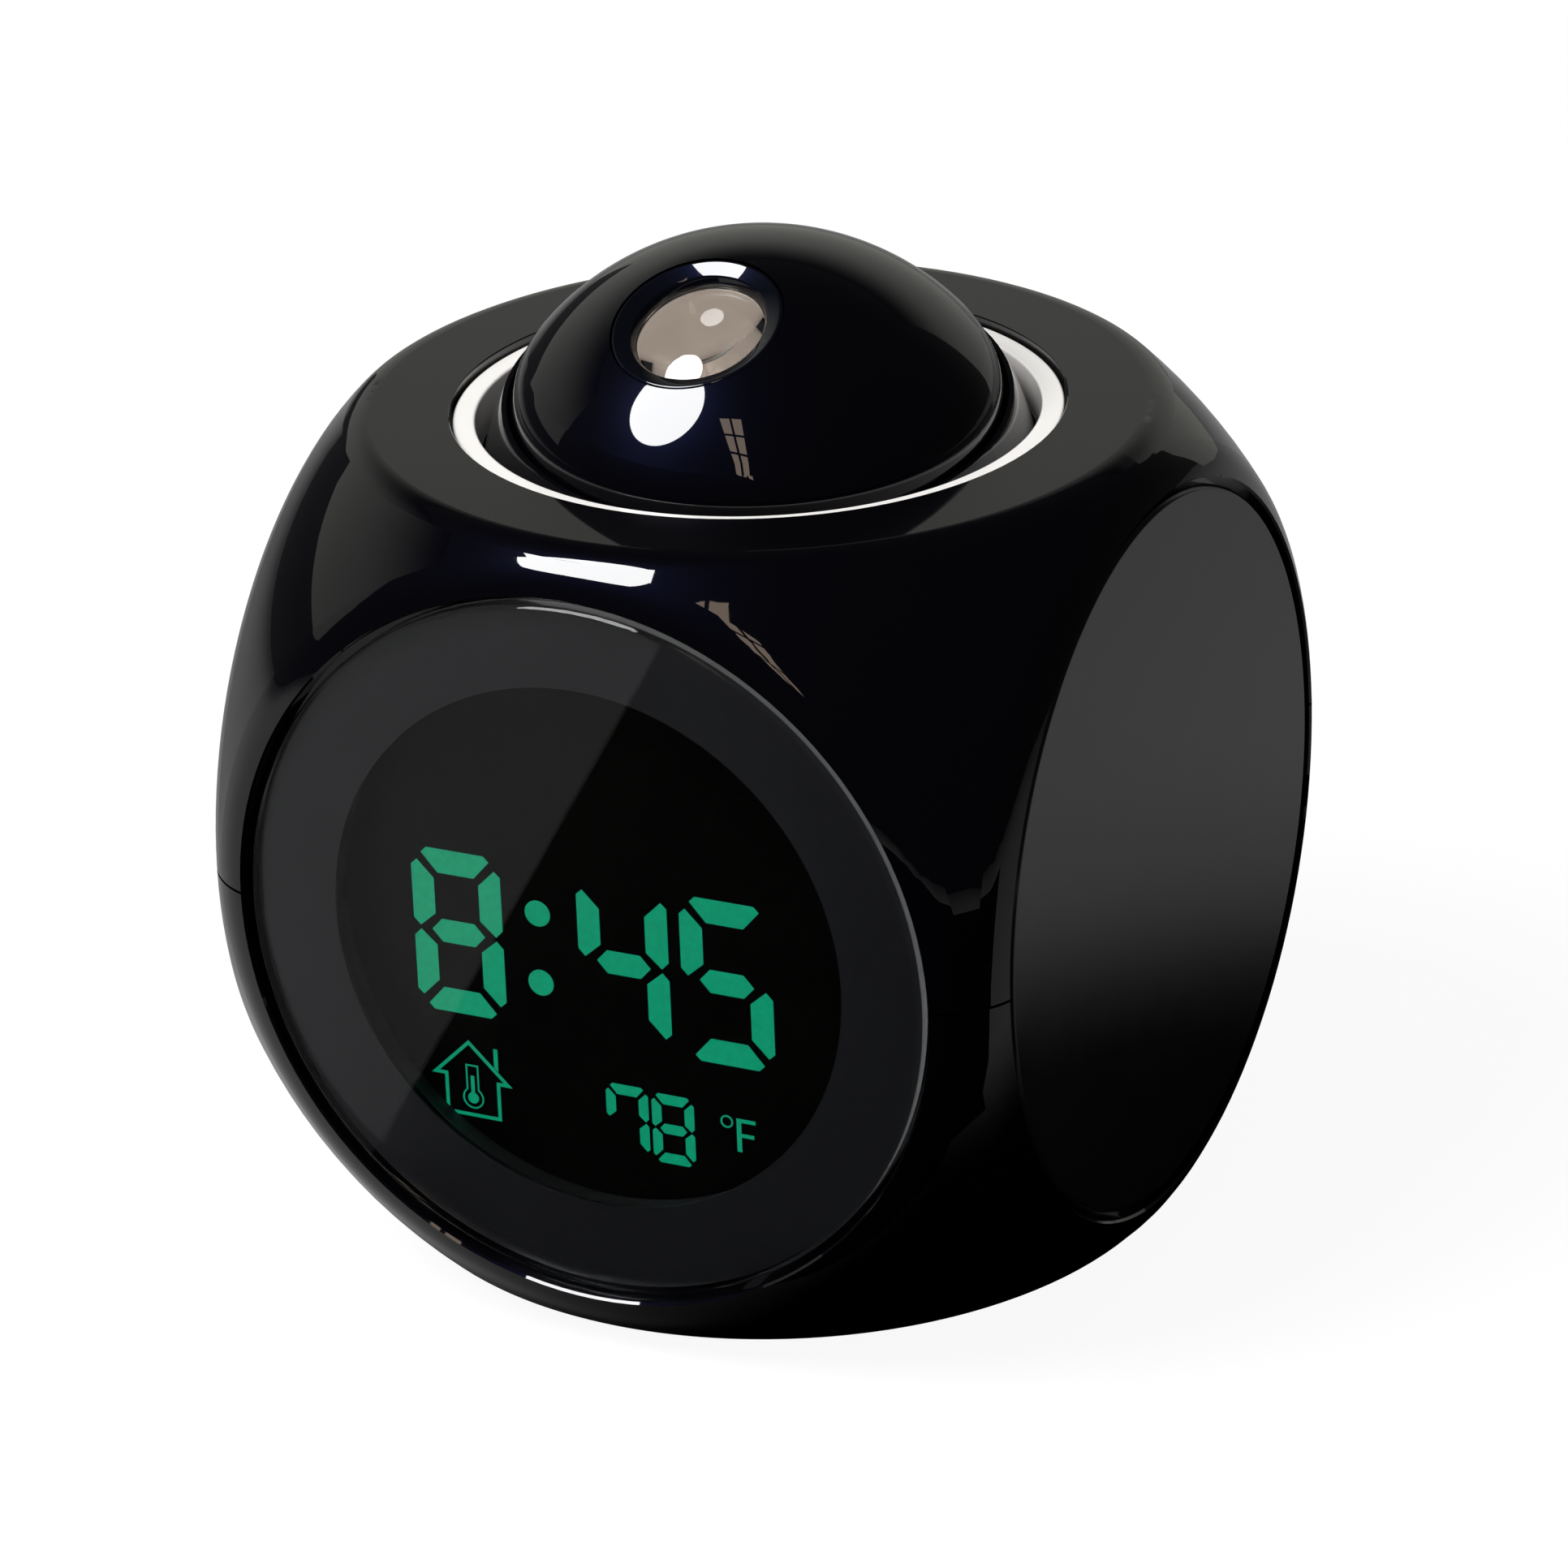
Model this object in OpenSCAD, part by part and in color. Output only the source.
// Projection alarm clock: a rounded cube with a round window, a white ring on top and a black
// projector ball in the ring. The ball is pressed for the light, and turned and leaned to aim.
// Millimetres. +Z is up, the clock faces -Y, and the origin is on the table under its middle.

/* [Housing] */
// Width and depth across the flat faces
body_w = 90; // [88:0.5:94]
// Diameter of the ball that rounds the cube's corners
round_d = 119.2; // [118.6:0.2:120]
// Height of the top flat above the cube's middle
top_rise = 43; // [42.5:0.25:44]
// Depth of the bottom flat below the cube's middle
bottom_drop = 44; // [43.5:0.25:44.5]
// Radius that rolls each side face into the ball
edge_r = 9; // [6:0.25:9.5]
// Radius that rolls the top and bottom flats into the ball
flat_edge_r = 3.75; // [2.5:0.25:5]
// Wall thickness at the rounded corners
wall = 2.6; // [2:0.1:3]
// Wall thickness behind the round discs
face_wall = 4.4; // [4.2:0.1:5]
// Thickness of the top and bottom walls
flat_wall = 2.4; // [2.2:0.1:2.8]
// Height of the seam between the two shells above the cube's middle
seam_rise = 0.4; // [-1:0.1:2]
// Width of the seam line
seam_gap = 0.3; // [0.2:0.05:0.5]
// Thickness of the locating tongue inside the seam
tongue_t = 0.9; // [0.7:0.1:1.1]
// Height of the locating tongue
tongue_h = 1.6; // [1:0.2:2.4]
// Chamfer on the rims of the round recesses
rim_ease = 0.3; // [0.1:0.05:0.5]

/* [Round discs] */
// Diameter of the front window and of the three other discs
disc_d = 75; // [72:0.5:75.5]
// Thickness of the discs
disc_t = 1.8; // [1.4:0.1:2]
// How deep the discs lie below the flat faces
disc_sink = 0.7; // [0.4:0.1:0.9]
// Gap round the edge of a disc
disc_gap = 0.8; // [0.4:0.1:1]
// Chamfer on the edge of a disc
disc_chamfer = 0.4; // [0.2:0.1:0.6]
// Diameter of the clear middle of the front window
view_d = 56.6; // [50:0.2:58]
// Thickness of the printed border behind the window
mask_t = 0.15; // [0.1:0.05:0.25]

/* [Display] */
// Width and height of the display glass
lcd_w = 59; // [58:0.5:60]
// Thickness of the display glass
lcd_t = 2.2; // [1.8:0.1:2.6]
// Thickness of the backlight
backlight_t = 3; // [2:0.25:3]
// Thickness of the circuit boards
board_t = 1.6; // [1:0.2:1.6]

/* [Top ring] */
// Width of the ring's flat rim
rim_w = 2.3; // [1.5:0.1:2.6]
// How deep the ring's rim lies below the top flat
ring_sink = 0.76; // [0.3:0.02:1.2]
// Inner diameter of the ring's rim
rim_d = 57.8; // [57.4:0.1:58.4]
// How much the ring's inner wall tapers in below its rim
ring_taper = 0.5; // [0.2:0.1:0.6]
// Height of the tapered part of the inner wall
taper_h = 4; // [3:0.5:5]
// Height of the ring's rim flange
flange_h = 2.6; // [2:0.1:3]
// Gap between the ring and the housing
ring_gap = 0.3; // [0.2:0.1:0.6]

/* [Projector ball] */
// Diameter of the ball
ball_d = 57.8; // [57.2:0.1:58]
// Height of the ball's middle above the cube's middle
ball_rise = 32; // [31.5:0.25:32.5]
// How far the ball leans from upright
ball_lean = 9.4; // [0:0.2:12]
// Direction of the lean, from straight ahead towards the right
lean_turn = 26.2; // [-90:0.2:90]
// Height of the bowl's edge above the ball's middle
edge_rise = 12.5; // [11.5:0.25:13]
// Wall of the bowl
bowl_wall = 1.8; // [1.5:0.1:2.2]
// Depth of the bowl's open foot below the ball's middle
bowl_drop = 22; // [21:0.5:23]
// Diameter of the dome where it stands in the bowl's edge
dome_d = 50.4; // [49:0.2:50.6]
// Height of the dome's widest place above the ball's middle
shoulder_rise = 11.2; // [10.5:0.1:11.5]
// Radius of the dome's crown
crown_r = 29.7; // [29.2:0.1:30.5]
// Height of the dome's top above the ball's middle
dome_rise = 28.15; // [27.8:0.05:28.6]
// Wall of the dome
dome_wall = 1.8; // [1.4:0.1:2.2]
// Gap between the dome and the bowl's edge
edge_gap = 0.35; // [0.25:0.05:0.7]
// Clearance round the ball in its socket
ball_play = 0.3; // [0.3:0.05:0.4]
// How far the ball is pressed down
press_travel = 1.2; // [0.6:0.1:1.4]
// Turn of the lens from the ball's front
lens_turn = -13; // [-30:1:30]
// Tilt of the lens from the ball's upright
lens_tilt = 18.5; // [14:0.5:22]
// Diameter of the lens that shows
lens_d = 13.3; // [12:0.1:13.6]
// Outer diameter of the lens bezel
bezel_d = 17.8; // [17.2:0.1:18.4]
// Depth of the lens edge below the bezel's edge
bezel_depth = 1.35; // [1:0.05:1.8]

/* [Rear panel] */
// Width of a button
button_w = 10; // [8:0.5:11]
// Height of a button
button_h = 5.5; // [4.5:0.25:6]
// Distance between button centres
button_pitch = 14; // [13:0.5:14.5]
// Height of the button row above the cube's middle
button_rise = 14; // [13:0.5:15]
// How far a button stands out of the rear panel
button_out = 0.6; // [0.3:0.1:0.7]
// How far a button is pressed in
button_travel = 0.5; // [0.3:0.1:0.6]
// Diameter of the speaker
speaker_d = 28; // [24:1:28]
// Depth of the speaker's middle below the cube's middle
speaker_drop = 13; // [12.5:0.5:14]

/* [Batteries] */
// Diameter of a cell
cell_d = 10.5; // [10:0.1:10.6]
// Length of a cell
cell_l = 44.5; // [44:0.1:44.6]
// Distance between the middles of two cells
cell_pitch = 11.2; // [10.8:0.1:11.6]
// Room for the spring behind a cell
spring_room = 4.6; // [4:0.1:5]
// Thickness of the battery door
door_t = 1.8; // [1.6:0.1:2]

/* [Feet and screws] */
// Height of the feet under the shell
foot_h = 1; // [0.8:0.1:1.6]
// Diameter of a foot
foot_d = 8; // [6:0.5:9]
// Radius of the wells that the housing screws drop into
well_r = 3.1; // [3:0.1:3.4]
// Radius of a housing screw's shank
shank_r = 1.2; // [1:0.1:1.5]

/* [Hidden] */
$fn = 96;
fine = 180;               // facets of the large curves
eps = 0.02;               // overlap that joins or clears two solids
slack = 0.1;              // side clearance of fitted pieces
fit = 0.2;                // gap round loose pieces

// housing
mid_z = foot_h + bottom_drop;
half = body_w / 2;
ball_r = round_d / 2;
cav_half = half - face_wall;
cav_r = ball_r - wall;
cav_top = mid_z + top_rise - flat_wall;
cav_bottom = foot_h + flat_wall;
seam_z = mid_z + seam_rise;
seam_low = seam_z - seam_gap / 2;
seam_high = seam_z + seam_gap / 2;

// discs
open_margin = 1.7;        // the shell's front opening is this much wider than the view
disc_ledge = 3.5;         // width of the ledge that carries the rear panel
disc_r = disc_d / 2;
disc_face = half - disc_sink;
disc_back = disc_face - disc_t;
window_seat = disc_back - mask_t;
front_open_r = view_d / 2 + open_margin;
rear_open_r = disc_r - disc_ledge;
rear_board_gap = 8.5;     // from the back of the rear panel to the front of the button board

// display stack, counted from the front wall inwards
small_screw_r = 0.95;     // shank of the screws in the display frame and the ball
small_head_r = 1.9;
thread_play = 0.05;       // a driven screw's pilot hole is this much wider
head_room = 0.3;          // room round a screw's head
frame_t = 2;
frame_margin = 0.9;       // the frame's opening is this much wider than the view
frame_r = disc_r - 1.5;
pocket_wall = 1.6;
lcd_corner_r = frame_r - pocket_wall - fit;
lcd_y = -(cav_half - frame_t);
backlight_y = lcd_y + lcd_t;
board_y = backlight_y + backlight_t;
board_top = 17;
socket_t = 3.2;
chip_at = [-10, 3];       // places on the main board count from its middle
chip_r = 6;
chip_t = 1.6;
memory_at = [4, -24];
memory_size = [10, 1.8, 6];
cap_at = [-17, -9];
cap_r = 2.6;
cap_h = 5.5;
cap_pitch = 7;
crystal_at = [-14, -25];
crystal_size = [6, 2.4, 3];
socket_at = [5, -7];
socket_size = [12, socket_t, 6];
ribbon_w = 8;
ribbon_t = 0.6;
ribbon_sag = 0.704;       // radius of the ribbon's sag, as a share of its span
ribbon_top = 9;           // height of its rear end above the cube's middle
frame_screw_ring = frame_r - pocket_wall - small_head_r - head_room;

// ball, from its middle outwards
sphere_r = ball_d / 2;
ball_z = mid_z + ball_rise;
socket_r = sphere_r + ball_play;
dome_r = dome_d / 2;
edge_in = dome_r + edge_gap;
crown_drop = crown_r - dome_rise;       // the crown's arc is struck this far below the middle
shoulder_up = shoulder_rise + crown_drop;
shoulder_r = (crown_r^2 - dome_r^2 - shoulder_up^2) / (2 * (crown_r - dome_r));
shoulder_x = dome_r - shoulder_r;
ledge_drop = 4.3;                       // the ledge lies this far below the bowl's edge
ledge_top = edge_rise - ledge_drop;
ledge_t = 1.8;
ball_post_r = 2.1;
ball_post_ring = dome_r - dome_wall - ball_post_r - slack;
ball_post_turn = 60;
ball_screw_bite = 5;                    // how far these screws reach into the dome's posts
ledge_in = ball_post_ring - ball_post_r - head_room;

// top ring and the well under it
rim_z = mid_z + top_rise - ring_sink;
ring_rim_in = rim_d / 2;
ring_r = ring_rim_in + rim_w;
ring_seat = rim_z - flange_h;
ring_ease = 0.1;                        // chamfer of the ring's recess
skirt_r = socket_r + 1;
socket_drop = 4.5;                      // the ring ends and the cradle begins here
ring_foot = ball_z - socket_drop;
shaft_r = skirt_r + fit;
shaft_wall = 2.8;
seat_r = 25.4;
cradle_wall = 1.8;
cradle_tube_r = seat_r + slack + cradle_wall;
band_t = 2.64;                          // the cradle's wide band under its joint with the tube
band_drop = sqrt(socket_r^2 - cradle_tube_r^2) + band_t;
shaft_foot = ball_z - band_drop - 1;

// seat, cradle, spring and bracket under the ball
cradle_r = skirt_r;
cradle_band = ball_z - band_drop;
seat_top_drop = 14;                     // top of the seat, below the ball's middle
seat_floor = ball_z - bowl_drop - 1.5;
cradle_floor_t = 1.5;
cradle_foot = seat_floor - cradle_floor_t;
cradle_in = 16;
key_w = 3.4;
key_play = 0.25;
key_in = shaft_r - 0.9;
key_top = ball_z - 8;
switch_w = 6;
switch_h = 3.5;
plunger_h = 1;
plunger_r = 1.7;
switch_play = 0.05;                     // gap between a switch's plunger and what presses it
plate_z = cradle_foot - switch_h - plunger_h - press_travel - switch_play;
plate_t = 2.5;
plate_r = shaft_r + shaft_wall;
plate_front_gap = 3.6;                  // from the plug on the main board to the plate
plate_back_gap = 11;                    // from the plate to the button board
plate_front = -(board_y + board_t) - socket_t - plate_front_gap;
plate_back = disc_back - rear_board_gap - plate_back_gap;
plate_hole = 11;
post_r = 3.2;
post_ring = shaft_r + 5.8;
post_turn = 30;
bracket_screw_r = 1;
bracket_screw_bite = 6;                 // how far these screws reach into their posts
spring_wire = 0.6;
spring_r = cradle_in + 2;
snooze_x = -22.5;

// lens train, measured along its axis from the middle of the crown's arc
bezel_r = bezel_d / 2;
lens_r = lens_d / 2;
bezel_edge = sqrt(crown_r^2 - bezel_r^2);
lens_edge = bezel_edge - bezel_depth;
bezel_fall = 0.65;                      // depth of the bezel's shallow cone
bezel_step = 0.4;                       // width of the steep wall inside it
lens_bulge = 1.1;                       // how far the lens stands out past its edge
lens_bulge_r = 15;
lens_rim = 0.35;
lens_seat = lens_edge - 1.9;
barrel_r = bezel_r - 0.9;
barrel_end = 12;
slide_at = 17;
slide_t = 1.2;
led_board_t = 1.2;
lead_r = 1.2;
lead_bend = 22;
lead_y = -5;

// rear panel
button_face = disc_face + button_out;
button_flange = 1;
button_lip = 1.2;
rear_board_y = disc_back - rear_board_gap;   // front of the button board
switch_top = rear_board_y + board_t + switch_h + plunger_h;
speaker_r = speaker_d / 2;
speaker_z = mid_z - speaker_drop;
speaker_rim_t = 1.2;
speaker_rim_w = 2.5;
basket_depth = 4.5;
basket_room = 3.5;
magnet_depth = 8;
cone_t = 0.5;
cone_depth = 2.5;
cone_cap_r = 4;
cone_cap_rise = 0.3;
cone_r = speaker_r - speaker_rim_w - 1.5;
slot_w = 1.4;
slot_pitch = 3;
slot_count = 7;
panel_post_r = 1.5;
panel_post_x = button_pitch;
panel_post_z = button_h / 2 + button_lip + panel_post_r + 0.3;
sensor_z = 9;

// battery bay
cell_r = cell_d / 2;
cell_gap = 0.4;
cell_z = foot_h + door_t + cell_gap + cell_r;
bay_half_w = cell_pitch + cell_r + 0.75;
contact_t = 0.4;
contact_w = 8;
contact_h = 8.4;
contact_coil_r = 3.6;
contact_coil_tip_r = 2.6;
bay_half_l = (cell_l + spring_room + 0.1) / 2 + contact_t;
bay_wall = 1.4;
bay_top = cell_z + cell_r + 0.5;
bay_ledge = 1.6;
door_half_w = bay_half_w + bay_ledge - fit;
door_half_l = bay_half_l + bay_ledge - fit;
door_edge = bay_half_l + bay_ledge;
tab_x = 10;
tab_w = 6;
tab_reach = 1.8;
tab_lip = 1.2;
tab_t = 1;
wire_r = 0.35;
wire_lead_r = 0.7;
wire_lead_z = cell_z + 2.5;
wire_lead_top = bay_top + bay_wall + wire_lead_r + slack;
front_lead_y = -(bay_half_l + bay_wall + wire_lead_r + slack);

// feet and housing screws
foot_x = 29.5;
foot_y = 14;
foot_sink = 0.6;
boss_r = 4.2;
boss_gap = 2.1;          // between the main board and the bosses behind it
boss_x = 25.5;
boss_y = -(board_y + board_t) - boss_gap - boss_r;
screw_seat = mid_z - 7;
head_h = 1.8;
head_r = 2.6;
screw_bite = 10;

corners = [[1, 1], [-1, 1], [-1, -1], [1, -1]];

// ---------- shapes that several pieces share ----------

// radius of the flat that is left on a face at a height h, rolled with a radius r
function flat_r(h, r) = sqrt((ball_r - r)^2 - (h - r)^2);

// how far out the rolled face lies at the edge of a disc's recess
rim_out = half - edge_r
        + sqrt(edge_r^2 - max(0, disc_r + disc_gap - flat_r(half, edge_r))^2);

// a cylinder along Y, from y0 to y1, at a height z
module rod_y(r, y0, y1, x = 0, z = mid_z) {
    translate([x, y0, z]) rotate([-90, 0, 0]) cylinder(r = r, h = y1 - y0);
}

// a box given by its lowest corner and its highest corner
module block(low, high) {
    translate(low) cube(high - low);
}

// half outline of a ball cut flat above and below, with rolled edges
module slab_outline(up, down, r) {
    reach = r + 5;
    up_r = flat_r(up, r);
    down_r = flat_r(down, r);
    tip_up = [up_r, up - r] * (1 + reach / (ball_r - r));
    tip_down = [down_r, r - down] * (1 + reach / (ball_r - r));
    intersection() {
        translate([0, -down]) square([ball_r + 5, up + down]);
        circle(ball_r, $fn = fine);
        union() {
            translate([0, -down]) square([min(up_r, down_r), up + down]);
            block_2d(0, up - r, up_r, up);
            block_2d(0, -down, down_r, r - down);
            translate([up_r, up - r]) circle(r, $fn = fine);
            translate([down_r, r - down]) circle(r, $fn = fine);
            polygon([[0, r - down], [down_r, r - down], tip_down, [ball_r + 20, 0], tip_up,
                     [up_r, up - r], [0, up - r]]);
        }
    }
}

module block_2d(x0, y0, x1, y1) {
    translate([x0, y0]) square([x1 - x0, y1 - y0]);
}

module slab(up, down, r) {
    rotate_extrude($fn = fine) slab_outline(up, down, r);
}

// the whole outside of the housing
module body_form() {
    translate([0, 0, mid_z]) intersection() {
        slab(top_rise, bottom_drop, flat_edge_r);
        rotate([90, 0, 0]) slab(half, half, edge_r);
        rotate([0, 90, 0]) slab(half, half, edge_r);
    }
}

// the space inside the housing, grown by a step
module cavity(grow = 0) {
    intersection() {
        translate([0, 0, mid_z]) sphere(cav_r + grow, $fn = fine);
        block([-cav_half - grow, -cav_half - grow, cav_bottom],
              [cav_half + grow, cav_half + grow, cav_top]);
    }
}

// a round recess in the face that looks along an angle about Z
module face_recess(turn, seat) {
    rotate([0, 0, turn]) {
        rod_y(disc_r + disc_gap, -half - 1, -seat);
        translate([0, rim_ease - rim_out, mid_z]) rotate([90, 0, 0])
            rim_cone(disc_r + disc_gap, rim_ease);
    }
}

// the chamfer round a recess of radius r, from z = 0 to just above the surface
module rim_cone(r, ease) {
    cylinder(r1 = r, r2 = r + ease + eps, h = ease + eps);
}

// everything that is cut out of both shells for the discs and behind them
module face_cuts() {
    face_recess(0, window_seat);
    for (turn = [90, 180, 270]) face_recess(turn, disc_back);
    rod_y(front_open_r, -half, -cav_half + 2);
    rod_y(rear_open_r, cav_half - 2, half);
    for (a = [45:90:315]) {
        rod_y(small_screw_r + thread_play, -half, -cav_half + 2,
              frame_screw_ring * cos(a), mid_z + frame_screw_ring * sin(a));
    }
}

// the band inside the seam that keeps the shells in line
module seam_band(grow, low, high) {
    difference() {
        intersection() {
            cavity(grow);
            block([-half, -half, low], [half, half, high]);
        }
        cavity();
        rod_y(front_open_r, -half, -cav_half + 2);
        rod_y(rear_open_r, cav_half - 2, half);
    }
}

// a disc with a chamfered front edge, whose back lies at z = 0
module disc(t) {
    rotate_extrude() polygon([[0, 0], [disc_r, 0], [disc_r, t - disc_chamfer],
                              [disc_r - disc_chamfer, t], [0, t]]);
}

// puts a piece drawn flat onto the face that looks along an angle about Z
module on_face(turn, depth) {
    rotate([0, 0, turn]) translate([0, -depth, mid_z]) rotate([90, 0, 0]) children();
}

// a bar with round ends, w long and h high, in the XY plane
module oval(w, h) {
    for (s = [-1, 1]) translate([s * (w - h) / 2, 0]) circle(h / 2);
    square([w - h, h], center = true);
}

// points of a coil's wire, one ring of points for each step
function coil_ring(step, steps, turns, r0, r1, wire, height) =
    let (t = step / steps, a = 360 * turns * t, r = r0 + (r1 - r0) * t,
         z = wire + (height - 2 * wire) * t)
    [for (k = [0:7]) [(r + wire * cos(45 * k)) * cos(a), (r + wire * cos(45 * k)) * sin(a),
                      z + wire * sin(45 * k)]];

// an open coil spring that stands on z = 0
module coil(r0, r1, wire, height, turns) {
    steps = turns * 14;
    rings = [for (i = [0:steps]) each coil_ring(i, steps, turns, r0, r1, wire, height)];
    sides = [for (i = [0:steps - 1], k = [0:7])
             [8 * i + k, 8 * i + (k + 1) % 8, 8 * i + 8 + (k + 1) % 8, 8 * i + 8 + k]];
    ends = [[for (k = [7:-1:0]) k], [for (k = [0:7]) 8 * steps + k]];
    polyhedron(points = rings, faces = concat(sides, ends));
}

// a small push switch that stands on z = 0
module push_switch() {
    translate([-switch_w / 2, -switch_w / 2, 0]) cube([switch_w, switch_w, switch_h]);
    cylinder(r = plunger_r, h = switch_h + plunger_h);
}

// room for the well, the cradle and the screw bosses, cut from what a narrow body brings near
module inner_room() {
    translate([0, 0, shaft_foot - fit])
        cylinder(r = shaft_r + shaft_wall + slack, h = cav_top - shaft_foot);
    translate([0, 0, cradle_foot - press_travel - fit])
        cylinder(r = cradle_tube_r + fit, h = seat_top_drop);
    for (c = corners) translate([c.x * boss_x, c.y * boss_y, 0]) {
        cylinder(r = boss_r + slack, h = cav_top);
        translate([c.x * half / 2, 0, cav_top / 2])
            cube([half, 2 * (boss_r + slack), cav_top], center = true);
    }
}

// ---------- housing ----------

module upper_shell() {
    color("#0b0b0e") difference() {
        union() {
            difference() {
                body_form();
                cavity();
                block([-half - 1, -half - 1, 0], [half + 1, half + 1, seam_high]);
                face_cuts();
                seam_band(tongue_t + slack, seam_low, seam_z + tongue_h);
            }
            dome_shaft();
            shell_bosses(seam_low, cav_top + eps);
        }
        translate([0, 0, ring_seat]) cylinder(r = ring_r + ring_gap, h = 20);
        translate([0, 0, mid_z + top_rise - ring_ease]) rim_cone(ring_r + ring_gap, ring_ease);
        translate([0, 0, shaft_foot - 1]) cylinder(r = shaft_r, h = 60);
        for (c = corners) {
            translate([c.x * boss_x, c.y * boss_y, 0])
                cylinder(r = shank_r + thread_play, h = seam_low + screw_bite + 1);
        }
        bracket_holes(plate_z - 1, plate_z + bracket_screw_bite + 3);
    }
    color("#0b0b0e") shaft_keys();
}

// the well that hangs from the top and guides the cradle, with the posts for the bracket
module dome_shaft() {
    difference() {
        translate([0, 0, shaft_foot])
            cylinder(r = shaft_r + shaft_wall, h = cav_top + eps - shaft_foot);
        translate([0, 0, shaft_foot - 1]) cylinder(r = shaft_r, h = 60);
    }
    at_posts() translate([0, 0, plate_z]) cylinder(r = post_r, h = cav_top + eps - plate_z);
}

// the four places round the well where the bracket is screwed on
module at_posts() {
    for (c = corners) {
        translate([c.x * post_ring * cos(post_turn), c.y * post_ring * sin(post_turn), 0])
            children();
    }
}

module bracket_holes(low, high) {
    at_posts() translate([0, 0, low])
        cylinder(r = bracket_screw_r + thread_play, h = high - low);
}

// two ribs in the well that keep the cradle from turning
module shaft_keys() {
    for (s = [-1, 1]) intersection() {
        block([min(s * key_in, s * (shaft_r + 1)), -key_w / 2, shaft_foot],
              [max(s * key_in, s * (shaft_r + 1)), key_w / 2, key_top]);
        translate([0, 0, shaft_foot - 1]) cylinder(r = shaft_r + 0.5, h = 30);
    }
}

module shell_bosses(low, high) {
    for (c = corners) {
        translate([c.x * boss_x, c.y * boss_y, low]) cylinder(r = boss_r, h = high - low);
    }
}

module lower_shell() {
    color("#0b0b0e") difference() {
        union() {
            difference() {
                body_form();
                cavity();
                block([-half - 1, -half - 1, seam_low], [half + 1, half + 1, 200]);
                face_cuts();
            }
            seam_band(tongue_t, seam_low - 2, seam_z + tongue_h);
            shell_bosses(cav_bottom - eps, seam_low);
            block([-bay_half_w - bay_wall, -bay_half_l - bay_wall, cav_bottom - eps],
                  [bay_half_w + bay_wall, bay_half_l + bay_wall, bay_top + bay_wall]);
        }
        block([-bay_half_w, -bay_half_l, 0], [bay_half_w, bay_half_l, bay_top]);
        block([-door_edge_w(), -door_edge, 0],
              [door_edge_w(), door_edge, foot_h + door_t + 0.1]);
        door_tab_room();
        for (c = corners) translate([c.x * boss_x, c.y * boss_y, 0]) {
            cylinder(r = well_r, h = screw_seat);
            cylinder(r = shank_r + 0.15, h = seam_low + 1);
        }
        for (c = corners) translate([c.x * foot_x, c.y * foot_y, 0])
            cylinder(r = foot_d / 2 + slack, h = foot_h + foot_sink);
        thumb_notch();
        lead_holes();
    }
}

function door_edge_w() = bay_half_w + bay_ledge;

// room for the door's front tabs, over the lip that they hook onto
module door_tab_room() {
    for (s = [-1, 1]) {
        block([s * tab_x - tab_w / 2 - 0.3, -door_edge - tab_reach - 0.5, foot_h + tab_lip],
              [s * tab_x + tab_w / 2 + 0.3, -bay_half_l + 0.1,
               foot_h + tab_lip + tab_t + 1.4]);
    }
}

// shallow hollow for a fingertip at the door's rear edge
module thumb_notch() {
    translate([0, door_edge, foot_h - 5.2]) sphere(r = 6.4);
}

// ---------- round faces ----------

module front_window() {
    color([0.10, 0.10, 0.11, 0.6]) on_face(0, disc_back) disc(disc_t);
}

module window_border() {
    color("#2b2c32") on_face(0, window_seat) difference() {
        cylinder(r = disc_r - disc_chamfer, h = mask_t);
        translate([0, 0, -1]) cylinder(r = view_d / 2, h = mask_t + 2);
    }
}

module left_disc() {
    color("#1e1e22") on_face(270, disc_back) disc(disc_t);
}

module right_disc() {
    color("#1e1e22") on_face(90, disc_back) disc(disc_t);
}

// where button i sits, counted from the left as seen from behind
function button_x(i) = (i - 1.5) * button_pitch;

module rear_panel() {
    color("#1e1e22") {
        on_face(180, disc_back) difference() {
            disc(disc_t);
            for (i = [0:3]) translate([button_x(i), button_rise, -1])
                linear_extrude(disc_t + 2) oval(button_w + 2 * fit, button_h + 2 * fit);
            translate([0, -speaker_drop, -1]) speaker_slots(disc_t + 2);
            for (i = [-1:1]) translate([3 * i, button_rise + sensor_z, -1])
                linear_extrude(disc_t + 2) oval_upright(5, 1.2);
        }
        rear_posts();
        rod_ring(speaker_r + 1.4, speaker_r + fit, disc_back - 3, disc_back);
    }
}

module oval_upright(w, h) {
    rotate([0, 0, 90]) oval(w, h);
}

// slots in front of the speaker, each as long as the round field is wide there
module speaker_slots(depth) {
    field = speaker_r - 2.5;
    for (i = [0:slot_count - 1]) {
        z = (i - (slot_count - 1) / 2) * slot_pitch;
        translate([0, z, 0]) linear_extrude(depth)
            oval(2 * sqrt(max(field^2 - z^2, 4)), slot_w);
    }
}

// posts that carry the button board
module rear_posts() {
    for (c = corners) rod_y(panel_post_r, rear_board_y + board_t, disc_back + eps,
                            c.x * panel_post_x, mid_z + button_rise + c.y * panel_post_z);
}

// a ring about the speaker's axis
module rod_ring(r_out, r_in, y0, y1) {
    difference() {
        rod_y(r_out, y0, y1 + eps, 0, speaker_z);
        rod_y(r_in, y0 - 1, y1 + 2 * eps, 0, speaker_z);
    }
}

// ---------- display ----------

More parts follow.
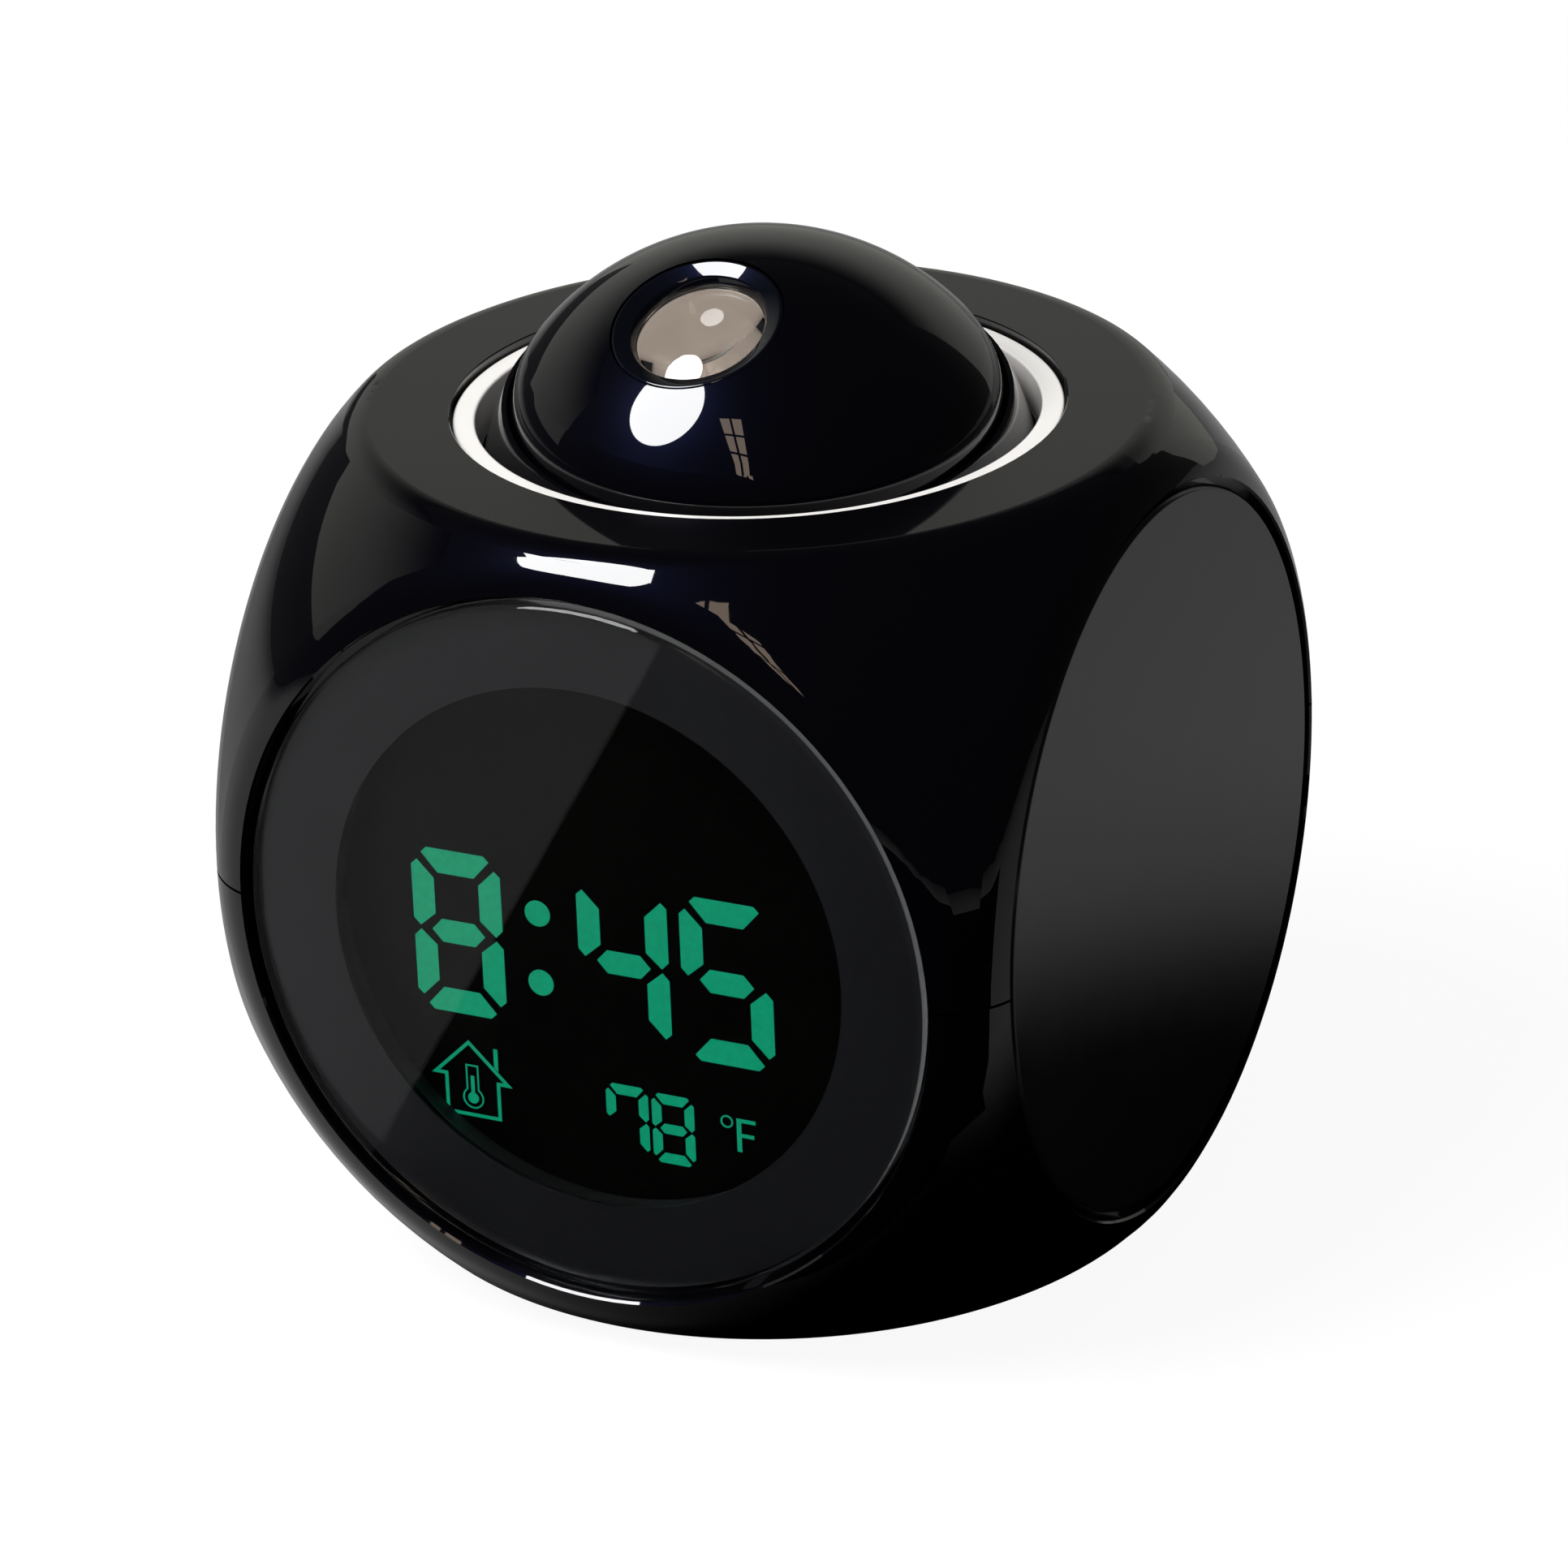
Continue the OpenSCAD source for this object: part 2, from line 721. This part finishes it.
module display_frame() {
    color("#101013") difference() {
        union() {
            rod_y(frame_r, -cav_half, lcd_y);
            rod_y(frame_r, lcd_y - eps, board_y);
        }
        rod_y(view_d / 2 + frame_margin, -cav_half - 1, lcd_y + 1);
        rod_y(frame_r - pocket_wall, lcd_y, board_y + 1);
        for (a = [45:90:315]) {
            rod_y(small_screw_r + slack, -half, 0, frame_screw_ring * cos(a),
                  mid_z + frame_screw_ring * sin(a));
        }
        inner_room();
    }
}

// a square with clipped, rounded corners, standing up, from y0 to y1
module clipped_square(y0, y1) {
    intersection() {
        rod_y(lcd_corner_r, y0, y1);
        block([-lcd_w / 2, y0 - 1, mid_z - lcd_w / 2], [lcd_w / 2, y1 + 1, mid_z + lcd_w / 2]);
    }
}

module display_glass() {
    color("#070708") difference() {
        clipped_square(lcd_y, backlight_y);
        frame_screw_room(lcd_y - 1, board_y);
        inner_room();
    }
}

module backlight() {
    color("#e8efe9") difference() {
        clipped_square(backlight_y, board_y);
        frame_screw_room(lcd_y - 1, board_y + 1);
        inner_room();
    }
}

// notches that clear the heads of the frame's screws
module frame_screw_room(y0, y1) {
    for (a = [45:90:315]) {
        rod_y(small_head_r + head_room, y0, y1, frame_screw_ring * cos(a),
              mid_z + frame_screw_ring * sin(a));
    }
}

module frame_screws() {
    color("#9a9da2") for (a = [45:90:315]) {
        x = frame_screw_ring * cos(a);
        z = mid_z + frame_screw_ring * sin(a);
        rod_y(small_screw_r, -window_seat + 0.15, lcd_y + eps, x, z);
        rod_y(small_head_r, lcd_y, lcd_y + 1.4, x, z);
    }
}

module main_board() {
    color("#1d5a35") difference() {
        intersection() {
            rod_y(frame_r, board_y, board_y + board_t);
            block([-half, board_y - 1, 0], [half, 0, mid_z + board_top]);
        }
        inner_room();
        // notch beside the lead that comes from the front contact
        block([-cell_pitch - wire_lead_r - fit, front_lead_y - wire_lead_r - fit, 0],
              [-cell_pitch + wire_lead_r + fit, 0, wire_lead_top + wire_lead_r + fit]);
    }
}

// chip, crystal and capacitors on the back of the main board
module board_parts() {
    back = board_y + board_t;
    color("#17171a") difference() {
        rod_y(chip_r, back, back + chip_t, chip_at.x, mid_z + chip_at.y);
        inner_room();
    }
    color("#17171a") on_board(memory_at, memory_size);
    color("#3a4a6a") for (i = [0, 1])
        rod_y(cap_r, back, back + cap_h, cap_at.x, mid_z + cap_at.y - i * cap_pitch);
    color("#b8bcc2") on_board(crystal_at, crystal_size);
    color("#e6e2d6") on_board(socket_at, socket_size);
}

// a box on the back of the main board, by its lowest corner and its size across, out and up
module on_board(at, size) {
    translate([at.x, board_y + board_t, mid_z + at.y]) cube(size);
}

// flat cable that sags between the two boards
module ribbon_cable() {
    y0 = board_y + board_t + socket_t;
    y1 = rear_board_y;
    z0 = mid_z + socket_at.y + socket_size.z / 2;
    z1 = mid_z + ribbon_top;
    span = norm([y1 - y0, z1 - z0]);
    sag_r = ribbon_sag * span;
    rise = sqrt(sag_r^2 - span^2 / 4);
    centre_y = (y0 + y1) / 2 - rise * (z1 - z0) / span;
    centre_z = (z0 + z1) / 2 + rise * (y1 - y0) / span;
    color("#c9c9cc") intersection() {
        translate([socket_at.x + (socket_size.x - ribbon_w) / 2, 0, 0])
            rotate([90, 0, 90]) linear_extrude(ribbon_w) difference() {
                translate([centre_y, centre_z]) circle(sag_r, $fn = fine);
                translate([centre_y, centre_z]) circle(sag_r - ribbon_t, $fn = fine);
            }
        block([0, y0, 0], [half, y1, min(z0, z1) + 0.5 + (z1 - z0)]);
    }
}

// ---------- rear buttons and speaker ----------

module button_board() {
    row_z = mid_z + button_rise;
    half_w = 1.5 * button_pitch + 4;
    color("#1d5a35") difference() {
        block([-half_w, rear_board_y, row_z - panel_post_z - panel_post_r - 0.5],
              [half_w, rear_board_y + board_t, row_z + sensor_z + 2.5]);
        inner_room();
    }
}

module button_switches() {
    color("#26262a") for (i = [0:3]) {
        translate([-button_x(i), rear_board_y + board_t, mid_z + button_rise])
            rotate([-90, 0, 0]) push_switch();
    }
}

module temperature_sensor() {
    y0 = rear_board_y + board_t;
    color("#2a2018") difference() {
        rod_y(2, y0, y0 + 5, 0, mid_z + button_rise + sensor_z);
        inner_room();
    }
}

// one button: cap, flange behind the panel and the stem over its switch
module button(i) {
    color("#2c2c31") on_face(180, 0) translate([button_x(i), button_rise, 0]) {
        translate([0, 0, disc_back]) linear_extrude(button_face - disc_back)
            oval(button_w, button_h);
        translate([0, 0, disc_back - button_flange]) linear_extrude(button_flange)
            oval(button_w + 2 * button_lip, button_h + 2 * button_lip);
        translate([0, 0, switch_top + button_travel + switch_play])
            cylinder(r = 1.5, h = disc_back - switch_top - button_travel - switch_play);
    }
}

module speaker_frame() {
    color("#8f9298") difference() {
        union() {
            rod_y(speaker_r, disc_back - speaker_rim_t, disc_back, 0, speaker_z);
            rod_y(speaker_r - speaker_rim_w, disc_back - basket_depth,
                  disc_back - speaker_rim_t / 2, 0, speaker_z);
            rod_y(speaker_r / 2, disc_back - magnet_depth, disc_back - basket_room - cone_t,
                  0, speaker_z);
        }
        rod_y(cone_r, disc_back - basket_room, disc_back + 1, 0, speaker_z);
    }
}

module speaker_cone() {
    edge = cone_r - slack;
    color("#1a1a1c") translate([0, disc_back - 0.4, speaker_z]) rotate([90, 0, 0])
        rotate_extrude()
            polygon([[0, cone_cap_rise + cone_t], [cone_cap_r, cone_depth + cone_t],
                     [edge, cone_t], [edge, 0], [edge - cone_t, 0],
                     [cone_cap_r, cone_depth], [0, cone_cap_rise]]);
}

// ---------- top ring and projector ball ----------

module top_ring() {
    color("#f4f4f2") rotate_extrude($fn = fine) difference() {
        polygon([[ring_rim_in - ring_taper, ring_foot], [skirt_r, ring_foot],
                 [skirt_r, ring_seat], [ring_r, ring_seat], [ring_r, rim_z - 0.3],
                 [ring_r - 0.3, rim_z], [ring_rim_in + 0.2, rim_z], [ring_rim_in, rim_z - 0.2],
                 [ring_rim_in - ring_taper, rim_z - taper_h]]);
        translate([0, ball_z]) circle(socket_r, $fn = fine);
    }
}

// the cup that slides in the well and is pushed up by the spring
module ball_cradle() {
    slot_in = key_in - key_play;
    slot_top = key_top + press_travel + 0.5;
    color("#101013") difference() {
        rotate_extrude($fn = fine) difference() {
            union() {
                block_2d(cradle_in, cradle_foot, cradle_tube_r, ring_foot);
                block_2d(cradle_in, cradle_band, cradle_r, ring_foot);
            }
            block_2d(0, seat_floor, seat_r + slack, ring_foot);
            translate([0, ball_z]) circle(socket_r, $fn = fine);
        }
        for (s = [-1, 1]) {
            block([min(s * slot_in, s * half), -key_w / 2 - key_play, cradle_band - 1],
                  [max(s * slot_in, s * half), key_w / 2 + key_play, slot_top]);
        }
    }
}

// the hollow ring that the ball leans in; it turns with the ball on the cradle's floor
module ball_seat() {
    color("#26262b") rotate_extrude($fn = fine) difference() {
        block_2d(cradle_in, seat_floor, seat_r, ball_z);
        translate([0, ball_z]) circle(socket_r, $fn = fine);
        block_2d(0, ball_z - seat_top_drop, seat_r + 1, ball_z + 1);
    }
}

// the ball's own frame: its middle, leaned away from upright
module in_ball() {
    translate([0, 0, ball_z]) rotate([0, 0, lean_turn]) rotate([ball_lean, 0, 0])
        rotate([0, 0, -lean_turn]) children();
}

// the three places where the dome is screwed to the bowl
module at_ball_posts() {
    for (i = [0:2]) rotate([0, 0, ball_post_turn + 120 * i])
        translate([ball_post_ring, 0, 0]) children();
}

module ball_bowl() {
    color("#0d0d10") in_ball() difference() {
        rotate_extrude($fn = fine) {
            difference() {
                intersection() {
                    circle(sphere_r, $fn = fine);
                    block_2d(0, -bowl_drop, sphere_r + 1, edge_rise);
                }
                intersection() {
                    circle(sphere_r - bowl_wall, $fn = fine);
                    block_2d(-1, -bowl_drop - 1, sphere_r + 1, ledge_top - ledge_t);
                }
                block_2d(-1, ledge_top, edge_in, edge_rise + 1);
                block_2d(-1, -bowl_drop - 1, ledge_in, edge_rise + 1);
            }
        }
        at_ball_posts() translate([0, 0, ledge_top - ledge_t - 1])
            cylinder(r = small_screw_r + fit, h = ledge_t + 2);
    }
}

// half outline of the dome, taken in by a step
module dome_outline(step) {
    far = 2 * crown_r;
    lean = [shoulder_x, shoulder_up] / norm([shoulder_x, shoulder_up]);
    intersection() {
        block_2d(0, ledge_top, far, far);
        union() {
            block_2d(0, ledge_top, dome_r - step, shoulder_rise);
            translate([shoulder_x, shoulder_rise]) circle(shoulder_r - step, $fn = fine);
            intersection() {
                translate([0, -crown_drop]) circle(crown_r - step, $fn = fine);
                polygon([[0, -crown_drop], [0, -crown_drop] + far * lean, [0, far]]);
            }
        }
    }
}

// the lens axis: children stand on the middle of the crown's arc and look out
module on_lens_axis(at = 0) {
    in_ball() translate([0, 0, -crown_drop]) rotate([0, 0, lens_turn])
        rotate([lens_tilt, 0, 0]) translate([0, 0, at]) children();
}

module dome_shell() {
    color("#0a0a0d") difference() {
        union() {
            in_ball() rotate_extrude($fn = fine) difference() {
                dome_outline(0);
                dome_outline(dome_wall);
            }
            dome_posts();
        }
        on_lens_axis(bezel_edge - 8) cylinder(r = bezel_r + slack, h = 14);
        in_ball() at_ball_posts() translate([0, 0, ledge_top - 1])
            cylinder(r = small_screw_r + thread_play, h = ball_screw_bite + 2.8);
    }
}

// screw posts that stand on the bowl's ledge and end under the crown
module dome_posts() {
    in_ball() intersection() {
        rotate_extrude($fn = fine) dome_outline(dome_wall / 2);
        at_ball_posts() translate([0, 0, ledge_top]) cylinder(r = ball_post_r, h = 40);
    }
}

module ball_screws() {
    color("#9a9da2") in_ball() at_ball_posts() {
        translate([0, 0, ledge_top - ledge_t - eps])
            cylinder(r = small_screw_r, h = ledge_t + ball_screw_bite);
        translate([0, 0, ledge_top - ledge_t - 1.3]) cylinder(r = small_head_r, h = 1.3);
    }
}

module lens_bezel() {
    color("#111114") on_lens_axis() rotate_extrude() polygon([
        [lens_r, lens_edge], [lens_r + bezel_step, bezel_edge - bezel_fall],
        [bezel_r - 0.35, bezel_edge - 0.1], [bezel_r, bezel_edge - 0.1],
        [bezel_r, lens_seat], [lens_r + lens_rim, lens_seat],
        [lens_r + lens_rim, lens_edge - 0.5], [lens_r, lens_edge - 0.5]]);
}

module projector_lens() {
    color([0.82, 0.84, 0.86, 0.5]) on_lens_axis() rotate_extrude() {
        block_2d(0, lens_seat, lens_r + lens_rim - 0.05, lens_edge - 0.55);
        intersection() {
            translate([0, lens_edge + lens_bulge - lens_bulge_r])
                circle(lens_bulge_r, $fn = fine);
            block_2d(0, lens_edge - 0.6, lens_r - 0.05, lens_edge + 3);
        }
    }
}

module lens_barrel() {
    color("#151518") on_lens_axis() rotate_extrude() difference() {
        block_2d(0, barrel_end, barrel_r, lens_seat);
        block_2d(-1, slide_at, lens_r, lens_seat + 1);
        block_2d(-1, barrel_end - 1, lens_r - 1.5, slide_at + 1);
    }
}

module picture_slide() {
    color("#3a3f4a") on_lens_axis(slide_at) cylinder(r = lens_r - 0.05, h = slide_t);
}

module projector_lamp() {
    color("#1d5a35") on_lens_axis(barrel_end - led_board_t)
        cylinder(r = barrel_r, h = led_board_t);
    color("#f2f2d8") on_lens_axis(barrel_end - eps) {
        cylinder(r = 2.5, h = 1.6);
        translate([0, 0, 1.6]) difference() {
            sphere(r = 2.2);
            translate([-5, -5, -10]) cube([10, 10, 10]);
        }
    }
}

module ball_bracket() {
    color("#1b1b1f") difference() {
        intersection() {
            union() {
                translate([0, 0, plate_z - plate_t]) cylinder(r = plate_r, h = plate_t);
                at_posts() translate([0, 0, plate_z - plate_t])
                    cylinder(r = post_r, h = plate_t);
            }
            block([-half, -plate_front, 0], [half, plate_back, 200]);
        }
        translate([0, 0, plate_z - plate_t - 1]) cylinder(r = plate_hole, h = plate_t + 2);
        bracket_holes(plate_z - plate_t - 1, plate_z + 1);
        for (c = corners) translate([c.x * boss_x, c.y * boss_y, plate_z - plate_t - 1])
            cylinder(r = boss_r + fit, h = plate_t + 2);
    }
}

module bracket_screws() {
    color("#9a9da2") at_posts() {
        translate([0, 0, plate_z - plate_t - eps])
            cylinder(r = bracket_screw_r, h = plate_t + bracket_screw_bite);
        translate([0, 0, plate_z - plate_t - 1.5]) cylinder(r = 2, h = 1.5);
    }
}

module snooze_switch() {
    color("#26262a") translate([snooze_x, 0, plate_z]) push_switch();
}

module return_spring() {
    gap = cradle_foot - plate_z;
    color("#b8bcc2") translate([0, 0, plate_z])
        coil(spring_r, spring_r, spring_wire / 2, gap, 3.5);
}

// lead that runs from the main board up into the ball, to the back of its lamp
module projector_lead() {
    y_end = board_y + board_t;
    y_bend = lead_y - lead_bend;
    z_bend = plate_z - plate_t - 2;
    lamp_back = barrel_end - led_board_t;
    color("#b33a2e") difference() {
        union() {
            translate([0, lead_y, z_bend])
                cylinder(r = lead_r, h = ball_z + lamp_back - z_bend, $fn = 32);
            translate([0, y_bend, z_bend]) rotate([90, 0, 90]) rotate([0, 0, -90])
                rotate_extrude(angle = 90, $fn = fine) translate([lead_bend, 0])
                    circle(lead_r, $fn = 32);
            rod_y(lead_r, y_end, y_bend, 0, z_bend - lead_bend);
        }
        on_lens_axis(lamp_back - 0.2) translate([-20, -20, 0]) cube([40, 40, 20]);
    }
}

// ---------- battery bay ----------

module battery_door() {
    top = foot_h + door_t;
    color("#0d0d10") difference() {
        union() {
            block([-door_half_w, -door_half_l, foot_h], [door_half_w, door_half_l, top]);
            for (s = [-1, 1]) block(
                [s * tab_x - tab_w / 2, -door_edge - tab_reach, foot_h + tab_lip + 0.1],
                [s * tab_x + tab_w / 2, -bay_half_l + 0.8, foot_h + tab_lip + 0.1 + tab_t]);
            block([-3, door_half_l - 1, foot_h + 0.6], [3, door_half_l + 0.12, top]);
        }
        // slots that free the latch tongue
        for (s = [-1, 1]) block([s * 5 - 0.4, door_half_l - 9, 0],
                                [s * 5 + 0.4, door_half_l + 1, top + 1]);
        thumb_notch();
    }
}

// one cell whose button end looks along s * Y
module cell(i) {
    s = i == 2 ? 1 : -1;
    flat_end = -s * (bay_half_l - contact_t - spring_room);
    x = (i - 2) * cell_pitch;
    color("#3f6f8f") rod_y(cell_r, min(flat_end, flat_end + s * (cell_l - 1)),
                           max(flat_end, flat_end + s * (cell_l - 1)), x, cell_z);
    color("#c4c7cc") rod_y(1.9, min(flat_end + s * (cell_l - 1.1), flat_end + s * cell_l),
                           max(flat_end + s * (cell_l - 1.1), flat_end + s * cell_l), x, cell_z);
}

// a contact plate at one end of the bay, for the cells from number a to number b
module contact_plate(s, a, b) {
    y0 = s > 0 ? bay_half_l - contact_t : -bay_half_l;
    block([(a - 2) * cell_pitch - contact_w / 2, y0, cell_z - contact_h / 2],
          [(b - 2) * cell_pitch + contact_w / 2, y0 + contact_t, cell_z + contact_h / 2]);
}

// the coil behind the flat end of cell i
module contact_spring(s, i) {
    translate([(i - 2) * cell_pitch, s * (bay_half_l - contact_t + wire_r), cell_z])
        rotate([s * 90, 0, 0]) coil(contact_coil_r, contact_coil_tip_r, wire_r,
                                 spring_room + wire_r - 0.1, 3);
}

module contact_front() {
    color("#c4c7cc") {
        contact_plate(-1, 1, 1);
        contact_plate(-1, 2, 3);
        contact_spring(-1, 2);
    }
}

module contact_rear() {
    color("#c4c7cc") {
        contact_plate(1, 1, 2);
        contact_plate(1, 3, 3);
        contact_spring(1, 1);
        contact_spring(1, 3);
    }
}

// a lead from the main board over the bay and in through the wall at one end, s * Y
module battery_lead(s, x) {
    board_back = board_y + board_t;
    y_wall = -s * front_lead_y;
    rod_y(wire_lead_r, board_back, y_wall, x, wire_lead_top);
    translate([x, y_wall, wire_lead_z]) cylinder(r = wire_lead_r, h = wire_lead_top - wire_lead_z);
    for (z = [wire_lead_z, wire_lead_top]) translate([x, y_wall, z]) sphere(wire_lead_r);
    rod_y(wire_lead_r, min(y_wall, s * bay_half_l), max(y_wall, s * bay_half_l), x, wire_lead_z);
}

module battery_leads() {
    color("#b33a2e") battery_lead(-1, -cell_pitch);
    color("#1a1a1c") battery_lead(1, cell_pitch);
}

// holes in the bay's end walls for the two leads
module lead_holes() {
    rod_y(wire_lead_r + slack, -bay_half_l - bay_wall - 1, -bay_half_l + 0.1, -cell_pitch,
          wire_lead_z);
    rod_y(wire_lead_r + slack, bay_half_l - 0.1, bay_half_l + bay_wall + 1, cell_pitch,
          wire_lead_z);
}

// ---------- feet and screws ----------

module foot(i) {
    color("#151517") translate([corners[i].x * foot_x, corners[i].y * foot_y, 0])
        rotate_extrude() polygon([[0, 0], [foot_d / 2 - 0.4, 0], [foot_d / 2, 0.4],
                                  [foot_d / 2, foot_h + foot_sink], [0, foot_h + foot_sink]]);
}

module screw(i) {
    color("#9a9da2") translate([corners[i].x * boss_x, corners[i].y * boss_y, 0])
        difference() {
            union() {
                translate([0, 0, screw_seat - head_h]) cylinder(r = head_r, h = head_h);
                translate([0, 0, screw_seat - eps])
                    cylinder(r = shank_r, h = seam_low + screw_bite - screw_seat);
            }
            for (turn = [0, 90]) translate([0, 0, screw_seat - head_h - 0.1]) rotate([0, 0, turn])
                translate([-1.6, -0.3, 0]) cube([3.2, 0.6, 1]);
        }
}

// ---------- the whole clock ----------

upper_shell();
lower_shell();
front_window();
window_border();
left_disc();
right_disc();
rear_panel();
top_ring();
display_frame();
display_glass();
backlight();
main_board();
board_parts();
frame_screws();
ribbon_cable();
button_board();
button_switches();
temperature_sensor();
button(0);  // button_mode
button(1);  // button_set
button(2);  // button_up
button(3);  // button_down
speaker_frame();
speaker_cone();
ball_bracket();
bracket_screws();
snooze_switch();
return_spring();
ball_cradle();
ball_seat();
ball_bowl();
dome_shell();
ball_screws();
lens_bezel();
projector_lens();
lens_barrel();
picture_slide();
projector_lamp();
projector_lead();
battery_door();
cell(1);  // cell_1
cell(2);  // cell_2
cell(3);  // cell_3
contact_front();
contact_rear();
battery_leads();
foot(0);  // foot_1
foot(1);  // foot_2
foot(2);  // foot_3
foot(3);  // foot_4
screw(0);  // screw_1
screw(1);  // screw_2
screw(2);  // screw_3
screw(3);  // screw_4
